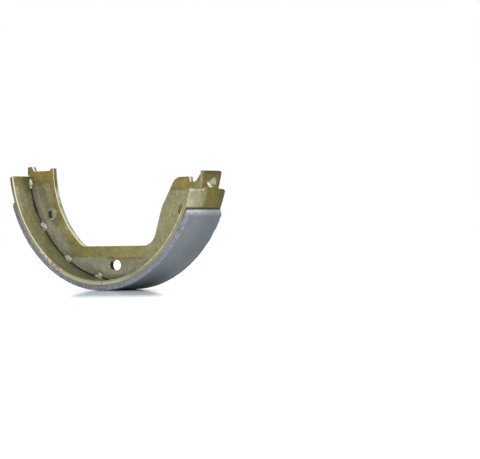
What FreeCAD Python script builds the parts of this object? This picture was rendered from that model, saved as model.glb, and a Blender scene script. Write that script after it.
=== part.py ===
import FreeCAD, Part
import math
import os

# Brake shoe for a drum brake: a bent steel rim, a flat web welded upright inside it,
# and a friction lining bonded round the outside. Sizes are in millimetres.
# The shoe lies on its curved back, as on a bench: +Z is up, X runs from the plain end
# to the tongue end, and Y runs across the width. The origin is on the lowest line of
# the lining, under the axis of the drum, in the middle of the width.
# Angles are in degrees about the axis of the drum: 0 is straight down, plus is to +X.

# Lining
drum_diameter = 165.0
lining_thickness = 3.2
lining_width = 30.0
lining_plain_end_angle = -70.3
lining_tongue_end_angle = 64.4
lining_plain_land = 1.7
lining_plain_bevel = 1.9
lining_tongue_land = 1.0
lining_tongue_bevel = 2.8
lining_edge = 0.35

# Rim
rim_thickness = 2.8
rim_width = 31.5
rim_plain_end_angle = -82.3
rim_shoulder_angle = 73.3
rim_corner = 1.6
rim_edge = 0.45

# Tongue at the end of the rim, measured forwards and backwards from the web
tongue_end_angle = 81.3
tongue_front_root = 4.4
tongue_front_top = 6.5
tongue_back_root = 9.2
tongue_back_top = 9.8
tongue_root_fillet = 1.1
tongue_corner = 1.0

# Web
web_thickness = 3.2
web_gap = 0.65
web_edge = 0.3
web_middle_depth = 21.0
web_arm_depth = 22.3
web_arm_bend = 16.0
web_arm_fillet = 6.0

# Plain end of the web: two horns with a shallow notch, measured up from the end of the rim
horn_outer_rise = 5.9
horn_inner_rise = 4.4
horn_floor_rise = 2.9
horn_outer_width = 3.4
horn_overhang = 1.5
horn_overhang_gap = 0.4
horn_inner_width = 2.0
horn_inner_slope = 1.3
horn_corner = 1.1
horn_lip_corner = 0.8
horn_shelf_corner = 0.5
horn_floor_fillet = 2.2

# Tongue end of the web: a wide inner lug, a notch and an outer lug, measured down from
# the end of the tongue and inwards from the rim
lug_outer_drop = 1.6
lug_inner_drop = 3.2
lug_floor_drop = 6.3
lug_outer_width = 6.4
lug_outer_slope = 4.3
lug_notch_width = 4.9
lug_inner_width = 11.3
lug_corner = 0.9
lug_outer_corner = 1.2
lug_inner_fillet = 7.0

# Inner edge of the web on the way up to the tongue end
step_low_angle = 29.7
step_low_fillet = 10.0
step_high_angle = 50.5
step_high_depth = 25.2
step_high_fillet = 9.0

# Holes in the web, with how far in from the rim each centre lies
pin_hole_length = 9.0
pin_hole_width = 6.2
pin_hole_inset = 9.25
spring_hole_diameter = 7.5
spring_hole_plain = (-57.8, 11.7)
spring_hole_tongue = (58.7, 10.0)

# Welds between the web and the rim
weld_plain_inset = 5.3
weld_pitch_angle = 22.6
weld_even_count = 7
weld_tongue_inset = 6.4
weld_bead_side = 1.7
weld_bead_radius = 3.2
weld_bead_tip = 1.7
weld_bead_sink = 0.8

# Electrode marks on the outside of the rim, over the welds that the lining leaves bare
mark_depth = 0.7
mark_slope = 1.4
mark_height = 6.6
mark_width = 8.6
mark_offset = 2.0

drum_radius = drum_diameter / 2
rim_outer = drum_radius - lining_thickness
rim_inner = rim_outer - rim_thickness
web_outer = rim_inner - web_gap
across = FreeCAD.Vector(0, 1, 0)
drum_axis = FreeCAD.Vector(0, 0, drum_radius)


def place(x, z, y=0.0):
    """A point given from the axis of the drum."""
    return drum_axis + FreeCAD.Vector(x, y, z)


def polar(radius, angle, y=0.0):
    """A point at a radius and an angle about the axis of the drum."""
    turn = math.radians(angle)
    return place(radius * math.sin(turn), -radius * math.cos(turn), y)


def arc(radius, start, end, y=0.0):
    """An arc about the axis of the drum."""
    middle = polar(radius, (start + end) / 2, y)
    return Part.Arc(polar(radius, start, y), middle, polar(radius, end, y)).toShape()


def line(start, end):
    return Part.LineSegment(start, end).toShape()


def slab(edges, width):
    """A flat outline thickened evenly to both sides of the middle plane."""
    face = Part.Face(Part.Wire(Part.__sortEdges__(edges)))
    face.translate(across * (-width / 2))
    return face.extrude(across * width)


def disc(radius, centre, width):
    """A short cylinder across the shoe."""
    return Part.makeCylinder(radius, width, centre - across * (width / 2), across)


def radius_of(point):
    from_axis = point - drum_axis
    return math.hypot(from_axis.x, from_axis.z)


def halfway(edge):
    return edge.valueAt((edge.FirstParameter + edge.LastParameter) / 2)


def is_level(edge, y):
    """Whether an edge lies in one of the flat faces at a distance from the middle plane."""
    points = [halfway(edge)] + [vertex.Point for vertex in edge.Vertexes]
    return all(abs(abs(point.y) - y) < 1e-3 for point in points)


def round_cross_edge(shape, corner, radius):
    """Rounds the straight edge that runs across the shoe through a corner."""
    for edge in shape.Edges:
        ends = [vertex.Point for vertex in edge.Vertexes]
        if len(ends) == 2 and all(math.hypot(p.x - corner.x, p.z - corner.z) < 1e-3 for p in ends):
            return shape.makeFillet(radius, [edge])
    raise ValueError("no edge at the corner")


def round_through_edge(shape, angle, y, radius):
    """Rounds the short edge through the thickness of the rim nearest to a place on it."""
    inner = polar(rim_inner, angle, y)
    outer = polar(rim_outer, angle, y)

    def miss(edge):
        low, high = sorted((vertex.Point for vertex in edge.Vertexes), key=radius_of)
        return (low - inner).Length + (high - outer).Length

    return shape.makeFillet(radius, [min((e for e in shape.Edges if len(e.Vertexes) == 2), key=miss)])


def ring(inner, outer, start, end, width):
    """A stretch of a flat band about the axis of the drum."""
    return slab(
        [
            arc(inner, start, end),
            line(polar(inner, end), polar(outer, end)),
            arc(outer, start, end),
            line(polar(inner, start), polar(outer, start)),
        ],
        width,
    )


def make_lining():
    """The lining, with a short upright end and a long bevel at each end."""
    per_mm = math.degrees(1 / drum_radius)
    plain_top = lining_plain_end_angle + lining_plain_bevel * per_mm
    tongue_top = lining_tongue_end_angle - lining_tongue_bevel * per_mm
    plain_foot = polar(rim_outer, lining_plain_end_angle)
    plain_lip = polar(rim_outer + lining_plain_land, lining_plain_end_angle)
    tongue_foot = polar(rim_outer, lining_tongue_end_angle)
    tongue_lip = polar(rim_outer + lining_tongue_land, lining_tongue_end_angle)
    body = slab(
        [
            arc(rim_outer, lining_plain_end_angle, lining_tongue_end_angle),
            line(tongue_foot, tongue_lip),
            line(tongue_lip, polar(drum_radius, tongue_top)),
            arc(drum_radius, plain_top, tongue_top),
            line(polar(drum_radius, plain_top), plain_lip),
            line(plain_lip, plain_foot),
        ],
        lining_width,
    )
    sides = [edge for edge in body.Edges if is_level(edge, lining_width / 2)]
    sides = [edge for edge in sides if abs(radius_of(halfway(edge)) - drum_radius) < 1e-3]
    return body.makeChamfer(lining_edge, sides)


def tongue_side(root, top, side):
    """The block cut away beside the tongue, at the front (side -1) or the back (side 1)."""
    middle = (rim_shoulder_angle + tongue_end_angle) / 2
    turn = math.radians(middle)
    up = FreeCAD.Vector(math.cos(turn), 0, math.sin(turn))
    out = FreeCAD.Vector(math.sin(turn), 0, -math.cos(turn))
    half = rim_outer * math.radians(tongue_end_angle - rim_shoulder_angle) / 2
    lean = (top - root) / (2 * half)
    over = half + rim_width
    start = polar(rim_inner - rim_thickness, middle)
    corners = [
        start - up * half + across * (side * root),
        start - up * half + across * (side * rim_width),
        start + up * over + across * (side * rim_width),
        start + up * over + across * (side * (root + lean * (half + over))),
    ]
    face = Part.Face(Part.makePolygon(corners + corners[:1]))
    return face.extrude(out * (3 * rim_thickness))


def electrode_mark(angle):
    """The shallow oval pit that a welding electrode leaves on the outside of the rim."""
    out = polar(rim_outer, angle) - drum_axis
    out.normalize()

    def oval(depth):
        shrink = depth * mark_slope
        centre = polar(rim_outer - depth, angle, mark_offset)
        ellipse = Part.Ellipse(centre, mark_width / 2 - shrink, mark_height / 2 - shrink)
        ellipse.Axis = out
        ellipse.XAxis = across
        return Part.Wire(ellipse.toShape())

    return Part.makeLoft([oval(mark_depth), oval(-mark_depth)], True, True)


def is_rim_outline(edge):
    """Whether an edge follows the outline of the strip, on its inner or its outer face."""
    points = [halfway(edge)] + [vertex.Point for vertex in edge.Vertexes]
    return any(all(abs(radius_of(p) - face) < 0.02 for p in points) for face in (rim_inner, rim_outer))


def make_rim():
    """The bent strip, its tongue and its rounded corners."""
    body = ring(rim_inner, rim_outer, rim_plain_end_angle, tongue_end_angle, rim_width)
    body = body.cut(tongue_side(tongue_front_root, tongue_front_top, -1))
    body = body.cut(tongue_side(tongue_back_root, tongue_back_top, 1))
    half = rim_width / 2
    for y in (-half, half):
        body = round_through_edge(body, rim_plain_end_angle, y, rim_corner)
        body = round_through_edge(body, rim_shoulder_angle, y, rim_corner)
    for root, top in ((-tongue_front_root, -tongue_front_top), (tongue_back_root, tongue_back_top)):
        body = round_through_edge(body, rim_shoulder_angle, root, tongue_root_fillet)
        body = round_through_edge(body, tongue_end_angle, top, tongue_corner)
    body = body.makeChamfer(rim_edge, [edge for edge in body.Edges if is_rim_outline(edge)])
    angles = weld_angles()
    for angle in (angles[0], angles[-1]):
        body = body.cut(electrode_mark(angle))
    return body


def weld_angles():
    """The welds run on evenly from the plain end, and the last one holds the tongue."""
    per_mm = math.degrees(1 / rim_inner)
    first = rim_plain_end_angle + weld_plain_inset * per_mm
    even = [first + weld_pitch_angle * step for step in range(weld_even_count)]
    return even + [tongue_end_angle - weld_tongue_inset * per_mm]


def web_outline():
    """The sharp outline of the web and the corners to round, as (point, radius)."""
    rim_top = -rim_inner * math.cos(math.radians(rim_plain_end_angle))
    tongue_top = -rim_inner * math.cos(math.radians(tongue_end_angle))

    def rim_side(z):
        return math.sqrt(web_outer**2 - z**2)

    horn_top = rim_top + horn_outer_rise
    horn_floor = rim_top + horn_floor_rise
    inner_top = rim_top + horn_inner_rise
    arm = web_arm_depth - web_outer
    shelf = rim_top + horn_overhang_gap
    shelf_in = place(-rim_side(shelf), shelf)
    shelf_out = place(-rim_side(shelf) - horn_overhang, shelf)
    horn_out = place(shelf_out.x, horn_top)
    horn_in = place(-web_outer + horn_outer_width, horn_top)
    floor_out = place(-web_outer + horn_outer_width, horn_floor)
    floor_in = place(arm - horn_inner_width - horn_inner_slope, horn_floor)
    inner_out = place(arm - horn_inner_width, inner_top)
    inner_in = place(arm, inner_top)

    chord = web_middle_depth - rim_inner
    bend = rim_inner - web_arm_bend
    bend_x = arm + bend
    chord_start = place(bend_x - math.sqrt(bend**2 - (chord - inner_top) ** 2), chord)
    bend_turn = math.atan2(inner_top - chord, bend_x - chord_start.x) / 2
    bend_middle = place(bend_x - bend * math.cos(bend_turn), inner_top - bend * math.sin(bend_turn))

    step_low = place(-chord * math.tan(math.radians(step_low_angle)), chord)
    step_high = polar(rim_inner - step_high_depth, step_high_angle)
    lug_top = tongue_top - lug_inner_drop
    lug_floor = tongue_top - lug_floor_drop
    outer_top = tongue_top - lug_outer_drop
    lug_side = rim_side(lug_floor) - lug_outer_width
    notch_out = place(lug_side, lug_floor)
    notch_in = place(lug_side - lug_notch_width, lug_floor)
    lug_out = place(lug_side - lug_notch_width, lug_top)
    lug_in = place(lug_side - lug_notch_width - lug_inner_width, lug_top)
    slope_top = place(lug_side + lug_outer_slope, outer_top)
    rim_end = place(rim_side(outer_top), outer_top)

    edges = [
        Part.Arc(shelf_in, place(0, -web_outer), rim_end).toShape(),
        Part.Arc(chord_start, bend_middle, inner_in).toShape(),
    ]
    path = [inner_in, inner_out, floor_in, floor_out, horn_in, horn_out, shelf_out, shelf_in]
    edges += [line(a, b) for a, b in zip(path, path[1:])]
    path = [chord_start, step_low, step_high, lug_in, lug_out, notch_in, notch_out, slope_top, rim_end]
    edges += [line(a, b) for a, b in zip(path, path[1:])]
    corners = [
        (shelf_out, horn_shelf_corner),
        (horn_out, horn_corner),
        (horn_in, horn_corner),
        (floor_out, horn_floor_fillet),
        (floor_in, horn_lip_corner),
        (inner_out, horn_lip_corner),
        (inner_in, horn_lip_corner),
        (chord_start, web_arm_fillet),
        (step_low, step_low_fillet),
        (step_high, step_high_fillet),
        (lug_in, lug_inner_fillet),
        (lug_out, lug_corner),
        (notch_in, lug_corner),
        (notch_out, lug_corner),
        (slope_top, lug_outer_corner),
    ]
    return edges, corners


def make_web():
    """The crescent plate with its horns, lugs and holes."""
    edges, corners = web_outline()
    body = slab(edges, web_thickness)
    for corner, radius in corners:
        body = round_cross_edge(body, corner, radius)
    body = body.makeChamfer(web_edge, [edge for edge in body.Edges if is_level(edge, web_thickness / 2)])
    hole_radius = pin_hole_width / 2
    reach = (pin_hole_length - pin_hole_width) / 2
    depth = 2 * web_thickness
    pin_z = pin_hole_inset - rim_inner
    pin_hole = slab(
        [
            line(place(-reach, pin_z - hole_radius), place(reach, pin_z - hole_radius)),
            Part.Arc(
                place(reach, pin_z - hole_radius),
                place(reach + hole_radius, pin_z),
                place(reach, pin_z + hole_radius),
            ).toShape(),
            line(place(reach, pin_z + hole_radius), place(-reach, pin_z + hole_radius)),
            Part.Arc(
                place(-reach, pin_z + hole_radius),
                place(-reach - hole_radius, pin_z),
                place(-reach, pin_z - hole_radius),
            ).toShape(),
        ],
        depth,
    )
    body = body.cut(pin_hole)
    for angle, inset in (spring_hole_plain, spring_hole_tongue):
        body = body.cut(disc(spring_hole_diameter / 2, polar(rim_inner - inset, angle), depth))
    return body


def make_weld_nuggets(web):
    """One bead round the edge of the web at each weld, tapering away to both sides of it."""
    inside = disc(rim_inner, drum_axis, rim_width)
    half = web_thickness / 2
    beads = []
    for angle in weld_angles():
        centre = polar(rim_inner + weld_bead_sink, angle)
        bead = disc(weld_bead_radius, centre, web_thickness)
        for side in (-1, 1):
            foot = centre + across * (side * half)
            taper = Part.makeCone(weld_bead_radius, weld_bead_tip, weld_bead_side, foot, across * side)
            bead = bead.fuse(taper)
        beads.append(bead.common(inside).cut(web))
    return Part.makeCompound([solid for bead in beads for solid in bead.Solids])


def main():
    os.makedirs("parts", exist_ok=True)
    web = make_web()
    pieces = {
        "rim": make_rim(),
        "web": web,
        "lining": make_lining(),
        "weld_nuggets": make_weld_nuggets(web),
    }
    for name, shape in pieces.items():
        if shape.ShapeType == "Compound" and len(shape.Solids) == 1:
            shape = shape.Solids[0]
        shape.exportStep(f"parts/{name}.step")
        box = shape.BoundBox
        print(name, len(shape.Solids), "solids", shape.isValid(), round(shape.Volume, 1), "mm3")
        print("  x", round(box.XMin, 2), round(box.XMax, 2), "y", round(box.YMin, 2), round(box.YMax, 2))
        print("  z", round(box.ZMin, 2), round(box.ZMax, 2))


main()
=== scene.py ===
import bmesh
import bpy
import math
import random
from mathutils import Matrix, Vector, noise


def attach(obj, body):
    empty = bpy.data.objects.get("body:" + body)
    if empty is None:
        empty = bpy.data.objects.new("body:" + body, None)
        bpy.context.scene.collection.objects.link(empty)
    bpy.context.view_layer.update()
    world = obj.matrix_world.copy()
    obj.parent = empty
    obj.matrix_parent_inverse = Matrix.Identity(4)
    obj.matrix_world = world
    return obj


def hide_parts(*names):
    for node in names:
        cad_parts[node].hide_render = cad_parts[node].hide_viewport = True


# Brake shoe: a plated steel rim and web, welded together, with a bonded friction lining.
# Sizes are in millimetres. Angles are in degrees about the drum's axis, 0 straight down and plus
# towards the tongue. Meshes are in metres, in the same frame as the CAD.

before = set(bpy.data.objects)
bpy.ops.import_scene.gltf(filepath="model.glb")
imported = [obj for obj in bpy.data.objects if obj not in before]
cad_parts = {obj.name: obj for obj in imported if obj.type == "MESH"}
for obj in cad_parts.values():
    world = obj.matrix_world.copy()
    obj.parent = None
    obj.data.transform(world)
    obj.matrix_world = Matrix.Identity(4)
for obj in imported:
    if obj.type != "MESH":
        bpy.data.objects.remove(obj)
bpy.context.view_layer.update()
mm = 0.001
tiny = 1e-7  # points that are closer than this are one

drum = {
    "radius": 82.5,
    "rimOuter": 79.3,
    "rimInner": 76.5,
    "webOuter": 75.85,
    "firstWeld": -78.33,
    "weldPitch": 22.6,
    "tongueWeld": 76.51,
}
weldAngles = [drum["firstWeld"] + drum["weldPitch"] * step for step in range(7)]
weldAngles.append(drum["tongueWeld"])
axisPoint = Vector((0, 0, drum["radius"] * mm))


# Mesh helpers

def polar(radius, angle, y=0.0):
    turn = math.radians(angle)
    return Vector((radius * math.sin(turn), y, drum["radius"] - radius * math.cos(turn))) * mm


def place(x, z, y=0.0):  # from the drum's axis
    return Vector((x, y, drum["radius"] + z)) * mm


def cutAcross(bm, axis, stops, keep=None):
    # adds straight cuts through the mesh, at right angles to one axis
    direction = Vector((0, 0, 0))
    direction[axis] = 1
    for stop in stops:
        point = Vector((0, 0, 0))
        point[axis] = stop * mm
        faces = [f for f in bm.faces if keep is None or keep(f.calc_center_median() / mm)]
        edges = list({e for f in faces for e in f.edges})
        verts = list({v for f in faces for v in f.verts})
        bmesh.ops.bisect_plane(bm, geom=verts + edges + faces, dist=tiny,
                               plane_co=point, plane_no=direction)


def steps(start, end, pitch):
    count = max(1, round((end - start) / pitch))
    return [start + (end - start) * k / count for k in range(1, count)]


def extrudeAll(bm, way):
    made = bmesh.ops.extrude_face_region(bm, geom=list(bm.faces))
    moved = [v for v in made["geom"] if isinstance(v, bmesh.types.BMVert)]
    bmesh.ops.translate(bm, verts=moved, vec=Vector(way))


def roundOff(bm, chosen, size, affect, segments):
    bmesh.ops.bevel(bm, geom=chosen, offset=size * mm, offset_type="OFFSET", affect=affect,
                    segments=segments, profile=0.5, material=-1)


def rollUp(bm):
    # rolls a flat blank round the drum: x is the arc at the rim's outer face, z the height above it
    for v in bm.verts:
        angle = math.degrees(v.co.x / (drum["rimOuter"] * mm))
        v.co = polar(drum["rimOuter"] + v.co.z / mm, angle, v.co.y / mm)


def arcAt(angle):  # an angle as a place along the flat blank
    return math.radians(angle) * drum["rimOuter"]


def addToScene(name, data):
    made = bpy.data.objects.new(name, data)
    bpy.context.scene.collection.objects.link(made)
    return made


def addObject(name, bm):
    mesh = bpy.data.meshes.new(name)
    bmesh.ops.recalc_face_normals(bm, faces=bm.faces)
    bm.to_mesh(mesh)
    bm.free()
    return addToScene(name, mesh)


def finishPiece(name, bm, material, replaced, sharp=35):
    bmesh.ops.remove_doubles(bm, verts=bm.verts, dist=tiny)
    piece = addObject(name, bm)
    for face in piece.data.polygons:
        face.use_smooth = True
    piece.data.set_sharp_from_angle(angle=math.radians(sharp))
    piece.data.materials.append(material)
    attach(piece, "root")
    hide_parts(replaced)


# Shader helpers

def plug(tree, node, inputs):
    # links an input to a socket, or sets it to a plain number or colour
    for key, value in inputs.items():
        if isinstance(value, bpy.types.NodeSocket):
            tree.links.new(value, node.inputs[key])
        else:
            node.inputs[key].default_value = value


def addNode(tree, kind, inputs, **settings):
    made = tree.nodes.new("ShaderNode" + kind)
    for key, value in settings.items():
        setattr(made, key, value)
    plug(tree, made, inputs)
    return made


def calc(tree, operation, *values, clamp=False):
    return addNode(tree, "Math", dict(enumerate(values)),
                   operation=operation, use_clamp=clamp).outputs[0]


def minus(tree, first, second, clamp=False):
    return calc(tree, "SUBTRACT", first, second, clamp=clamp)


def times(tree, first, *others):  # of masks, it holds where all of them hold
    for other in others:
        first = calc(tree, "MULTIPLY", first, other)
    return first


def total(tree, start, *parts):  # each part is (value, amount)
    for value, amount in parts:
        start = calc(tree, "ADD", start, times(tree, value, amount))
    return start


def ramp(tree, value, start, end):  # 0 at the start, 1 at the end
    return calc(tree, "DIVIDE", minus(tree, value, start), end - start, clamp=True)


def reach(tree, a, b):
    return calc(tree, "SQRT", calc(tree, "ADD", times(tree, a, a), times(tree, b, b)))


def tone(red, green, blue):  # a colour as the eye reads it, 0 to 255
    def linear(c):
        c /= 255
        return c / 12.92 if c <= 0.04045 else ((c + 0.055) / 1.055) ** 2.4
    return (linear(red), linear(green), linear(blue), 1.0)


def over(tree, below, mask, above, amount=1.0):
    # lays a colour over another where the mask is white
    if amount != 1.0:
        mask = times(tree, mask, amount)
    if not isinstance(above, bpy.types.NodeSocket):
        above = tone(*above)
    if not isinstance(below, bpy.types.NodeSocket):
        below = tone(*below)
    mixed = addNode(tree, "Mix", {0: mask, 6: below, 7: above}, data_type="RGBA")
    return mixed.outputs[2]


def newGroup(name, inputs, numbers, vectors=()):
    # inputs are names with plain values, and the other two are the names of what it puts out
    tree = bpy.data.node_groups.new(name, "ShaderNodeTree")
    kinds = {True: "NodeSocketFloat", False: "NodeSocketVector"}
    for label, value in inputs.items():
        socket = tree.interface.new_socket(name=label, in_out="INPUT",
                                           socket_type=kinds[isinstance(value, float)])
        socket.default_value = value
    for label in numbers + vectors:
        tree.interface.new_socket(name=label, in_out="OUTPUT",
                                  socket_type=kinds[label in numbers])
    given = tree.nodes.new("NodeGroupInput").outputs
    return tree, given, tree.nodes.new("NodeGroupOutput").inputs


def makePlaceGroup():
    # where a point lies on the shoe, in mm and degrees, and its place on the strip rolled out flat
    labels = ("Angle", "Radius", "Width", "Along", "Height")
    tree, _, result = newGroup("placeOnShoe", {}, labels, ("Unrolled",))
    where = tree.nodes.new("ShaderNodeTexCoord").outputs["Object"]
    split = addNode(tree, "SeparateXYZ", {0: where}).outputs
    x, y, z = (times(tree, part, 1000.0) for part in split[:3])
    z = minus(tree, z, drum["radius"])
    turn = calc(tree, "ARCTAN2", x, times(tree, z, -1.0))
    angle = times(tree, turn, 180 / math.pi)
    radius = reach(tree, x, z)
    flat = addNode(tree, "CombineXYZ", {
        0: times(tree, turn, drum["rimOuter"] * mm),
        1: split[1],
        2: times(tree, radius, mm),
    })
    for label, value in zip(labels, (angle, radius, y, x, z)):
        tree.links.new(value, result[label])
    tree.links.new(flat.outputs[0], result["Unrolled"])
    return tree


def makeBandGroup():
    # 1 between two values, fading out over a soft width, with a wavy border
    tree, given, result = newGroup("softBand", {
        "Value": 0.0, "From": 0.0, "To": 1.0, "Soft": 0.5, "Wave": 0.0, "Wave Scale": 250.0,
    }, ("Mask",))
    where = tree.nodes.new("ShaderNodeTexCoord").outputs["Object"]
    wobble = addNode(tree, "TexNoise",
                     {"Vector": where, "Scale": given["Wave Scale"], "Detail": 3.0})
    shift = minus(tree, wobble.outputs["Fac"], 0.5)
    value = total(tree, given["Value"], (shift, given["Wave"]))
    ends = []
    for high, low in ((value, given["From"]), (given["To"], value)):
        inwards = calc(tree, "DIVIDE", minus(tree, high, low), given["Soft"])
        ends.append(calc(tree, "ADD", inwards, 0.5, clamp=True))
    tree.links.new(times(tree, *ends), result["Mask"])
    return tree


def makeMottleGroup():
    # patchy variation between 0 and 1
    tree, given, result = newGroup("mottle", {
        "Place": (0.0, 0.0, 0.0), "Scale": 100.0, "Detail": 4.0, "Contrast": 2.0, "Level": 0.5,
        "Stretch": (1.0, 1.0, 1.0),
    }, ("Value",))
    stretched = addNode(tree, "VectorMath", {0: given["Place"], 1: given["Stretch"]},
                        operation="MULTIPLY")
    cloud = addNode(tree, "TexNoise", {
        "Vector": stretched.outputs[0], "Scale": given["Scale"], "Detail": given["Detail"],
        "Roughness": 0.6})
    spread = times(tree, minus(tree, cloud.outputs["Fac"], 0.5), given["Contrast"])
    tree.links.new(calc(tree, "ADD", spread, given["Level"], clamp=True), result["Value"])
    return tree


def makeWeldHeatGroup():
    # 1 at the line of welds, fading out along the rim between one weld and the next
    tree, given, result = newGroup("weldHeat", {"Angle": 0.0, "Spread": 3.0}, ("Mask",))
    off = minus(tree, given["Angle"], drum["firstWeld"])
    off = calc(tree, "PINGPONG", off, drum["weldPitch"] / 2)
    off = calc(tree, "DIVIDE", off, given["Spread"])
    tree.links.new(minus(tree, 1.0, off, clamp=True), result["Mask"])
    return tree


placeOnShoe = makePlaceGroup()
softBand = makeBandGroup()
mottle = makeMottleGroup()
weldHeat = makeWeldHeatGroup()


def useGroup(tree, group, inputs):
    made = tree.nodes.new("ShaderNodeGroup")
    made.node_tree = group
    plug(tree, made, inputs)
    return made.outputs


def band(tree, value, start, end, soft=0.5, wave=0.0, waveScale=250.0):
    return useGroup(tree, softBand, {
        "Value": value, "From": start, "To": end, "Soft": soft, "Wave": wave,
        "Wave Scale": waveScale})[0]


def patches(tree, where, scale, contrast=2.0, detail=4.0, level=0.5, stretch=(1, 1, 1)):
    return useGroup(tree, mottle, {
        "Place": where, "Scale": scale, "Contrast": contrast, "Detail": detail, "Level": level,
        "Stretch": stretch})[0]


def allOf(tree, values, *bounds):
    # where all of the bounds hold, and each is a mask, ("patchy", the numbers of patches)
    # or (the name of a value, the numbers of a band)
    masks = []
    for bound in bounds:
        if not isinstance(bound, tuple):
            masks.append(bound)
        elif bound[0] == "patchy":
            masks.append(patches(tree, values["where"], *bound[1:]))
        else:
            masks.append(band(tree, values[bound[0]], *bound[1:]))
    return times(tree, *masks)


def paint(tree, values, base, *coats):
    # lays on one coat after another, and each is (colour, amount, its bounds)
    for colour, amount, *bounds in coats:
        base = over(tree, base, allOf(tree, values, *bounds), colour, amount)
    return base


def clearTree(owner, kind):
    owner.use_nodes = True
    owner.node_tree.nodes.clear()
    return owner.node_tree, owner.node_tree.nodes.new(kind)


def newMaterial(name, specular=0.3):
    material = bpy.data.materials.new(name)
    tree, output = clearTree(material, "ShaderNodeOutputMaterial")
    shader = tree.nodes.new("ShaderNodeBsdfPrincipled")
    shader.inputs["Specular IOR Level"].default_value = specular
    tree.links.new(shader.outputs[0], output.inputs["Surface"])
    values = {socket.name.lower(): socket for socket in useGroup(tree, placeOnShoe, {})}
    values["where"] = tree.nodes.new("ShaderNodeTexCoord").outputs["Object"]
    return material, tree, shader, values


def addBump(tree, shader, layers):
    # layers are (height value, strength, depth in mm), each laid on the one before
    before = {}
    for height, strength, depth in layers:
        inputs = {"Height": height, "Strength": abs(strength), "Distance": depth * mm}
        bump = addNode(tree, "Bump", inputs | before, invert=strength < 0)
        before = {"Normal": bump.outputs["Normal"]}
    plug(tree, shader, before)


def shade(tree, base, value, amount):
    # darkens and lightens a colour by a pattern between 0 and 1, up to half the amount each way
    factor = total(tree, 1.0, (minus(tree, value, 0.5), amount))
    scaled = addNode(tree, "VectorMath", {0: base, "Scale": factor}, operation="SCALE")
    return scaled.outputs[0]


speck = (620, 9.0, 2, -1.05)  # small dark pits, far apart


def addPlatingGrain(tree, where, base):
    # what all the plated steel shares: soft blotches, a grain of two sizes and sparse dark specks
    base = shade(tree, base, patches(tree, where, 190, 3.4, 3), 0.24)
    base = shade(tree, base, patches(tree, where, 330, 3.6, 3, 0.5, (2.4, 2.4, 0.5)), 0.14)
    base = shade(tree, base, patches(tree, where, 640, 4.4, 3), 0.24)
    base = shade(tree, base, patches(tree, where, 1500, 5.0, 2), 0.24)
    return over(tree, base, patches(tree, where, *speck), (70, 62, 36), 0.4)


print("frame loaded, shader groups ready")


# Rim

rim = {
    "width": 31.5,
    "thickness": 2.8,
    "plainEnd": -82.3,
    "shoulder": 73.3,
    "tongueEnd": 81.3,
    "frontRoot": 4.4,
    "frontTop": 6.5,
    "backRoot": 9.2,
    "backTop": 9.8,
    "cornerRadius": 1.6,
    "rootRadius": 1.1,
    "tongueCorner": 1.0,
    "edgeRadius": 0.42,
    "pitch": 1.0,
    "markDepth": 0.7,
    "markHeight": 6.6,
    "markWidth": 8.6,
    "markOffset": 2.0,
    "markFlat": 0.55,  # share of its reach that is level
    "markLip": 0.1,
    "markLipReach": 1.5,
    "markPitch": 0.4,
    "markCuts": (5.0, 6.4),
    "markZone": (5.4, 6.6, -0.1),
    "markTop": -0.05,
}


def markShape(along, across):
    # depth of an electrode's mark: an oval pit with a slightly raised lip
    away = math.hypot(along / (rim["markHeight"] / 2), across / (rim["markWidth"] / 2))
    if away < rim["markFlat"]:
        return -rim["markDepth"]
    if away < 1.0:
        fall = (1.0 - away) / (1.0 - rim["markFlat"])
        return -rim["markDepth"] * fall * fall * (3 - 2 * fall)
    if away < rim["markLipReach"]:
        return rim["markLip"] * math.sin(math.pi * (away - 1.0) / (rim["markLipReach"] - 1.0))
    return 0.0


def makeRimMesh():
    bm = bmesh.new()
    half = rim["width"] / 2
    start, shoulder, end = (arcAt(rim[key]) for key in ("plainEnd", "shoulder", "tongueEnd"))
    outline = [
        (start, -half, "cornerRadius"),
        (shoulder, -half, "cornerRadius"),
        (shoulder, -rim["frontRoot"], "rootRadius"),
        (end, -rim["frontTop"], "tongueCorner"),
        (end, rim["backTop"], "tongueCorner"),
        (shoulder, rim["backRoot"], "rootRadius"),
        (shoulder, half, "cornerRadius"),
        (start, half, "cornerRadius"),
    ]
    corners = [(bm.verts.new(Vector((x, y, 0)) * mm), key) for x, y, key in outline]
    bm.faces.new([v for v, key in corners])
    for size in ("cornerRadius", "rootRadius", "tongueCorner"):
        chosen = [v for v, key in corners if key == size and v.is_valid]
        roundOff(bm, chosen, rim[size], "VERTICES", 6)
    extrudeAll(bm, (0, 0, -rim["thickness"] * mm))
    bmesh.ops.recalc_face_normals(bm, faces=bm.faces)
    borders = [e for e in bm.edges if abs(e.verts[0].co.z - e.verts[1].co.z) < tiny]
    roundOff(bm, borders, rim["edgeRadius"], "EDGES", 4)
    cutAcross(bm, 0, steps(start, end, rim["pitch"]))
    cutAcross(bm, 1, range(-15, 16, 3))
    middle = rim["markOffset"]
    high, wide = rim["markCuts"]
    zoneHigh, zoneWide, zoneLow = rim["markZone"]
    for angle in (weldAngles[0], weldAngles[-1]):
        centre = arcAt(angle)

        def nearMark(c):
            return abs(c.x - centre) < zoneHigh and abs(c.y - middle) < zoneWide and c.z > zoneLow

        cutAcross(bm, 0, steps(centre - high, centre + high, rim["markPitch"]), nearMark)
        cutAcross(bm, 1, steps(middle - wide, middle + wide, rim["markPitch"]), nearMark)
        for v in bm.verts:
            if v.co.z > rim["markTop"] * mm:
                v.co.z += markShape(v.co.x / mm - centre, v.co.y / mm - middle) * mm
    rollUp(bm)
    return bm


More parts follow.
